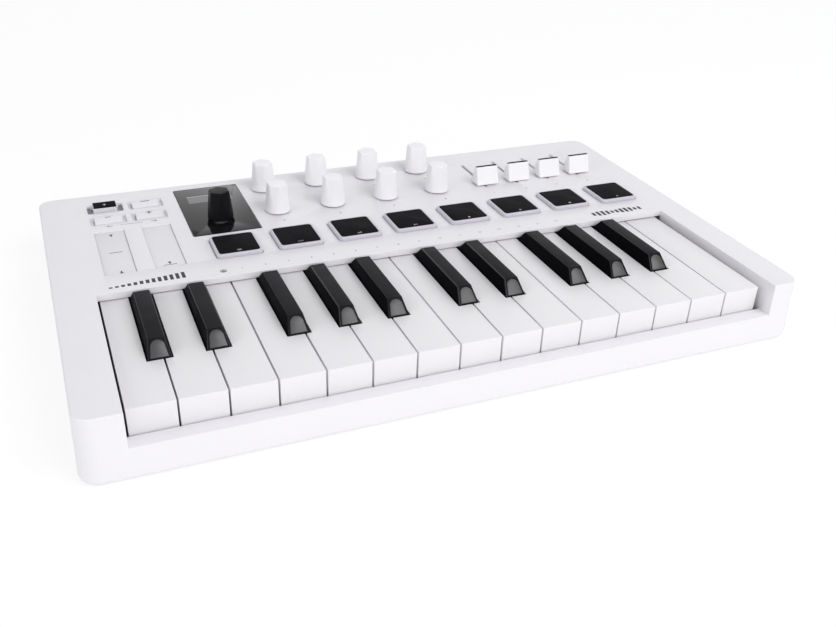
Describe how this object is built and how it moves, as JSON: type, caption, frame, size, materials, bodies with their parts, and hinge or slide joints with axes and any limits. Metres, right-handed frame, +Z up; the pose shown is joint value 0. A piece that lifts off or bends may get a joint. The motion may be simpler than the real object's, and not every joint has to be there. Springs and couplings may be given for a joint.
{
  "type": "midi keyboard",
  "caption": "Compact desktop controller: slim piano keys in a rounded case, with a row of pads, push and turn knobs, slide controls, touch strips and a small display window.",
  "frame": {"origin": "middle of the footprint on the surface the feet stand on", "axes": "+X to the player's right along the keys, +Y away from the player, +Z up"},
  "size_m": [0.3574, 0.2224, 0.051],
  "materials": {
    "case_white": "fine moulded grain, satin",
    "base_white": "fine moulded grain, satin",
    "frame_grey": "plain moulded",
    "window_dark": "high gloss, tinted",
    "strip_white": "satin",
    "board_green": "solder resist",
    "socket_black": "satin moulded",
    "foot_rubber": "matt",
    "screw_steel": "zinc plated",
    "key_white": "satin gloss",
    "key_black": "fine matt top, polished sides",
    "pad_rubber": "matt silicone top on a translucent base",
    "knob_white": "soft satin",
    "knob_black": "soft satin",
    "slider_white": "satin",
    "button_white": "satin",
    "button_grey": "translucent smoke, dark top"
  },
  "bodies": {
    "case": {"top_case": "case_white", "bottom_case": "base_white", "key_frame": "frame_grey", "display_window": "window_dark", "touch_strips": "strip_white", "circuit_boards": "board_green", "rear_sockets": "socket_black", "rubber_feet": "foot_rubber", "case_screws": "screw_steel"},
    "white_key_01": {"white_key_01": "key_white"},
    "white_key_02": {"white_key_02": "key_white"},
    "white_key_03": {"white_key_03": "key_white"},
    "white_key_04": {"white_key_04": "key_white"},
    "white_key_05": {"white_key_05": "key_white"},
    "white_key_06": {"white_key_06": "key_white"},
    "white_key_07": {"white_key_07": "key_white"},
    "white_key_08": {"white_key_08": "key_white"},
    "white_key_09": {"white_key_09": "key_white"},
    "white_key_10": {"white_key_10": "key_white"},
    "white_key_11": {"white_key_11": "key_white"},
    "white_key_12": {"white_key_12": "key_white"},
    "white_key_13": {"white_key_13": "key_white"},
    "white_key_14": {"white_key_14": "key_white"},
    "white_key_15": {"white_key_15": "key_white"},
    "black_key_01": {"black_key_01": "key_black"},
    "black_key_02": {"black_key_02": "key_black"},
    "black_key_03": {"black_key_03": "key_black"},
    "black_key_04": {"black_key_04": "key_black"},
    "black_key_05": {"black_key_05": "key_black"},
    "black_key_06": {"black_key_06": "key_black"},
    "black_key_07": {"black_key_07": "key_black"},
    "black_key_08": {"black_key_08": "key_black"},
    "black_key_09": {"black_key_09": "key_black"},
    "black_key_10": {"black_key_10": "key_black"},
    "pad_1": {"pad_1": "pad_rubber"},
    "pad_2": {"pad_2": "pad_rubber"},
    "pad_3": {"pad_3": "pad_rubber"},
    "pad_4": {"pad_4": "pad_rubber"},
    "pad_5": {"pad_5": "pad_rubber"},
    "pad_6": {"pad_6": "pad_rubber"},
    "pad_7": {"pad_7": "pad_rubber"},
    "pad_8": {"pad_8": "pad_rubber"},
    "knob_1": {"knob_1": "knob_white"},
    "knob_2": {"knob_2": "knob_white"},
    "knob_3": {"knob_3": "knob_white"},
    "knob_4": {"knob_4": "knob_white"},
    "knob_5": {"knob_5": "knob_white"},
    "knob_6": {"knob_6": "knob_white"},
    "knob_7": {"knob_7": "knob_white"},
    "knob_8": {"knob_8": "knob_white"},
    "main_encoder_plunger": {"main_encoder_plunger": "frame_grey"},
    "main_knob": {"main_knob": "knob_black"},
    "slider_1": {"slider_1": "slider_white"},
    "slider_2": {"slider_2": "slider_white"},
    "slider_3": {"slider_3": "slider_white"},
    "slider_4": {"slider_4": "slider_white"},
    "shift_button": {"shift_button": "button_grey"},
    "hold_button": {"hold_button": "button_white"},
    "octave_down_button": {"octave_down_button": "button_white"},
    "octave_up_button": {"octave_up_button": "button_white"}
  },
  "joints": [
    {"name": "white_key_01_press", "type": "hinge", "parent": "case", "child": "white_key_01", "pos_m": [0, 0, 0.024], "axis": [1, 0, 0], "range_deg": [0, 2], "stiffness_Nm_per_rad": 0.6, "springref_deg": -6.88},
    {"name": "white_key_02_press", "type": "hinge", "parent": "case", "child": "white_key_02", "pos_m": [0, 0, 0.024], "axis": [1, 0, 0], "range_deg": [0, 2], "stiffness_Nm_per_rad": 0.6, "springref_deg": -6.88},
    {"name": "white_key_03_press", "type": "hinge", "parent": "case", "child": "white_key_03", "pos_m": [0, 0, 0.024], "axis": [1, 0, 0], "range_deg": [0, 2], "stiffness_Nm_per_rad": 0.6, "springref_deg": -6.88},
    {"name": "white_key_04_press", "type": "hinge", "parent": "case", "child": "white_key_04", "pos_m": [0, 0, 0.024], "axis": [1, 0, 0], "range_deg": [0, 2], "stiffness_Nm_per_rad": 0.6, "springref_deg": -6.88},
    {"name": "white_key_05_press", "type": "hinge", "parent": "case", "child": "white_key_05", "pos_m": [0, 0, 0.024], "axis": [1, 0, 0], "range_deg": [0, 2], "stiffness_Nm_per_rad": 0.6, "springref_deg": -6.88},
    {"name": "white_key_06_press", "type": "hinge", "parent": "case", "child": "white_key_06", "pos_m": [0, 0, 0.024], "axis": [1, 0, 0], "range_deg": [0, 2], "stiffness_Nm_per_rad": 0.6, "springref_deg": -6.88},
    {"name": "white_key_07_press", "type": "hinge", "parent": "case", "child": "white_key_07", "pos_m": [0, 0, 0.024], "axis": [1, 0, 0], "range_deg": [0, 2], "stiffness_Nm_per_rad": 0.6, "springref_deg": -6.88},
    {"name": "white_key_08_press", "type": "hinge", "parent": "case", "child": "white_key_08", "pos_m": [0, 0, 0.024], "axis": [1, 0, 0], "range_deg": [0, 2], "stiffness_Nm_per_rad": 0.6, "springref_deg": -6.88},
    {"name": "white_key_09_press", "type": "hinge", "parent": "case", "child": "white_key_09", "pos_m": [0, 0, 0.024], "axis": [1, 0, 0], "range_deg": [0, 2], "stiffness_Nm_per_rad": 0.6, "springref_deg": -6.88},
    {"name": "white_key_10_press", "type": "hinge", "parent": "case", "child": "white_key_10", "pos_m": [0, 0, 0.024], "axis": [1, 0, 0], "range_deg": [0, 2], "stiffness_Nm_per_rad": 0.6, "springref_deg": -6.88},
    {"name": "white_key_11_press", "type": "hinge", "parent": "case", "child": "white_key_11", "pos_m": [0, 0, 0.024], "axis": [1, 0, 0], "range_deg": [0, 2], "stiffness_Nm_per_rad": 0.6, "springref_deg": -6.88},
    {"name": "white_key_12_press", "type": "hinge", "parent": "case", "child": "white_key_12", "pos_m": [0, 0, 0.024], "axis": [1, 0, 0], "range_deg": [0, 2], "stiffness_Nm_per_rad": 0.6, "springref_deg": -6.88},
    {"name": "white_key_13_press", "type": "hinge", "parent": "case", "child": "white_key_13", "pos_m": [0, 0, 0.024], "axis": [1, 0, 0], "range_deg": [0, 2], "stiffness_Nm_per_rad": 0.6, "springref_deg": -6.88},
    {"name": "white_key_14_press", "type": "hinge", "parent": "case", "child": "white_key_14", "pos_m": [0, 0, 0.024], "axis": [1, 0, 0], "range_deg": [0, 2], "stiffness_Nm_per_rad": 0.6, "springref_deg": -6.88},
    {"name": "white_key_15_press", "type": "hinge", "parent": "case", "child": "white_key_15", "pos_m": [0, 0, 0.024], "axis": [1, 0, 0], "range_deg": [0, 2], "stiffness_Nm_per_rad": 0.6, "springref_deg": -6.88},
    {"name": "black_key_01_press", "type": "hinge", "parent": "case", "child": "black_key_01", "pos_m": [0, 0, 0.024], "axis": [1, 0, 0], "range_deg": [0, 2.5], "stiffness_Nm_per_rad": 0.6, "springref_deg": -6.88},
    {"name": "black_key_02_press", "type": "hinge", "parent": "case", "child": "black_key_02", "pos_m": [0, 0, 0.024], "axis": [1, 0, 0], "range_deg": [0, 2.5], "stiffness_Nm_per_rad": 0.6, "springref_deg": -6.88},
    {"name": "black_key_03_press", "type": "hinge", "parent": "case", "child": "black_key_03", "pos_m": [0, 0, 0.024], "axis": [1, 0, 0], "range_deg": [0, 2.5], "stiffness_Nm_per_rad": 0.6, "springref_deg": -6.88},
    {"name": "black_key_04_press", "type": "hinge", "parent": "case", "child": "black_key_04", "pos_m": [0, 0, 0.024], "axis": [1, 0, 0], "range_deg": [0, 2.5], "stiffness_Nm_per_rad": 0.6, "springref_deg": -6.88},
    {"name": "black_key_05_press", "type": "hinge", "parent": "case", "child": "black_key_05", "pos_m": [0, 0, 0.024], "axis": [1, 0, 0], "range_deg": [0, 2.5], "stiffness_Nm_per_rad": 0.6, "springref_deg": -6.88},
    {"name": "black_key_06_press", "type": "hinge", "parent": "case", "child": "black_key_06", "pos_m": [0, 0, 0.024], "axis": [1, 0, 0], "range_deg": [0, 2.5], "stiffness_Nm_per_rad": 0.6, "springref_deg": -6.88},
    {"name": "black_key_07_press", "type": "hinge", "parent": "case", "child": "black_key_07", "pos_m": [0, 0, 0.024], "axis": [1, 0, 0], "range_deg": [0, 2.5], "stiffness_Nm_per_rad": 0.6, "springref_deg": -6.88},
    {"name": "black_key_08_press", "type": "hinge", "parent": "case", "child": "black_key_08", "pos_m": [0, 0, 0.024], "axis": [1, 0, 0], "range_deg": [0, 2.5], "stiffness_Nm_per_rad": 0.6, "springref_deg": -6.88},
    {"name": "black_key_09_press", "type": "hinge", "parent": "case", "child": "black_key_09", "pos_m": [0, 0, 0.024], "axis": [1, 0, 0], "range_deg": [0, 2.5], "stiffness_Nm_per_rad": 0.6, "springref_deg": -6.88},
    {"name": "black_key_10_press", "type": "hinge", "parent": "case", "child": "black_key_10", "pos_m": [0, 0, 0.024], "axis": [1, 0, 0], "range_deg": [0, 2.5], "stiffness_Nm_per_rad": 0.6, "springref_deg": -6.88},
    {"name": "pad_1_press", "type": "slide", "parent": "case", "child": "pad_1", "axis": [0, 0, -1], "range_m": [0, 0.0008], "stiffness_N_per_m": 2500, "springref_m": -0.0005},
    {"name": "pad_2_press", "type": "slide", "parent": "case", "child": "pad_2", "axis": [0, 0, -1], "range_m": [0, 0.0008], "stiffness_N_per_m": 2500, "springref_m": -0.0005},
    {"name": "pad_3_press", "type": "slide", "parent": "case", "child": "pad_3", "axis": [0, 0, -1], "range_m": [0, 0.0008], "stiffness_N_per_m": 2500, "springref_m": -0.0005},
    {"name": "pad_4_press", "type": "slide", "parent": "case", "child": "pad_4", "axis": [0, 0, -1], "range_m": [0, 0.0008], "stiffness_N_per_m": 2500, "springref_m": -0.0005},
    {"name": "pad_5_press", "type": "slide", "parent": "case", "child": "pad_5", "axis": [0, 0, -1], "range_m": [0, 0.0008], "stiffness_N_per_m": 2500, "springref_m": -0.0005},
    {"name": "pad_6_press", "type": "slide", "parent": "case", "child": "pad_6", "axis": [0, 0, -1], "range_m": [0, 0.0008], "stiffness_N_per_m": 2500, "springref_m": -0.0005},
    {"name": "pad_7_press", "type": "slide", "parent": "case", "child": "pad_7", "axis": [0, 0, -1], "range_m": [0, 0.0008], "stiffness_N_per_m": 2500, "springref_m": -0.0005},
    {"name": "pad_8_press", "type": "slide", "parent": "case", "child": "pad_8", "axis": [0, 0, -1], "range_m": [0, 0.0008], "stiffness_N_per_m": 2500, "springref_m": -0.0005},
    {"name": "knob_1_turn", "type": "hinge", "parent": "case", "child": "knob_1", "pos_m": [-0.0519, 0.09, 0.043], "axis": [0, 0, 1], "continuous": true},
    {"name": "knob_2_turn", "type": "hinge", "parent": "case", "child": "knob_2", "pos_m": [-0.0191, 0.09, 0.043], "axis": [0, 0, 1], "continuous": true},
    {"name": "knob_3_turn", "type": "hinge", "parent": "case", "child": "knob_3", "pos_m": [0.0137, 0.09, 0.043], "axis": [0, 0, 1], "continuous": true},
    {"name": "knob_4_turn", "type": "hinge", "parent": "case", "child": "knob_4", "pos_m": [0.0465, 0.09, 0.043], "axis": [0, 0, 1], "continuous": true},
    {"name": "knob_5_turn", "type": "hinge", "parent": "case", "child": "knob_5", "pos_m": [-0.0519, 0.057, 0.043], "axis": [0, 0, 1], "continuous": true},
    {"name": "knob_6_turn", "type": "hinge", "parent": "case", "child": "knob_6", "pos_m": [-0.0191, 0.057, 0.043], "axis": [0, 0, 1], "continuous": true},
    {"name": "knob_7_turn", "type": "hinge", "parent": "case", "child": "knob_7", "pos_m": [0.0137, 0.057, 0.043], "axis": [0, 0, 1], "continuous": true},
    {"name": "knob_8_turn", "type": "hinge", "parent": "case", "child": "knob_8", "pos_m": [0.0465, 0.057, 0.043], "axis": [0, 0, 1], "continuous": true},
    {"name": "main_knob_push", "type": "slide", "parent": "case", "child": "main_encoder_plunger", "axis": [0, 0, -1], "range_m": [0, 0.0007], "stiffness_N_per_m": 2500, "springref_m": -0.001},
    {"name": "main_knob_turn", "type": "hinge", "parent": "main_encoder_plunger", "child": "main_knob", "pos_m": [-0.0847, 0.0562, 0.043], "axis": [0, 0, 1], "continuous": true},
    {"name": "slider_1_slide", "type": "slide", "parent": "case", "child": "slider_1", "axis": [0, 1, 0], "range_m": [-0.0017, 0.0283]},
    {"name": "slider_2_slide", "type": "slide", "parent": "case", "child": "slider_2", "axis": [0, 1, 0], "range_m": [-0.0017, 0.0283]},
    {"name": "slider_3_slide", "type": "slide", "parent": "case", "child": "slider_3", "axis": [0, 1, 0], "range_m": [-0.0017, 0.0283]},
    {"name": "slider_4_slide", "type": "slide", "parent": "case", "child": "slider_4", "axis": [0, 1, 0], "range_m": [-0.0017, 0.0283]},
    {"name": "shift_press", "type": "slide", "parent": "case", "child": "shift_button", "axis": [0, 0, -1], "range_m": [0, 0.0008], "stiffness_N_per_m": 1500, "springref_m": -0.0008},
    {"name": "hold_press", "type": "slide", "parent": "case", "child": "hold_button", "axis": [0, 0, -1], "range_m": [0, 0.0008], "stiffness_N_per_m": 1500, "springref_m": -0.0008},
    {"name": "octave_down_press", "type": "slide", "parent": "case", "child": "octave_down_button", "axis": [0, 0, -1], "range_m": [0, 0.0008], "stiffness_N_per_m": 1500, "springref_m": -0.0008},
    {"name": "octave_up_press", "type": "slide", "parent": "case", "child": "octave_up_button", "axis": [0, 0, -1], "range_m": [0, 0.0008], "stiffness_N_per_m": 1500, "springref_m": -0.0008}
  ]
}
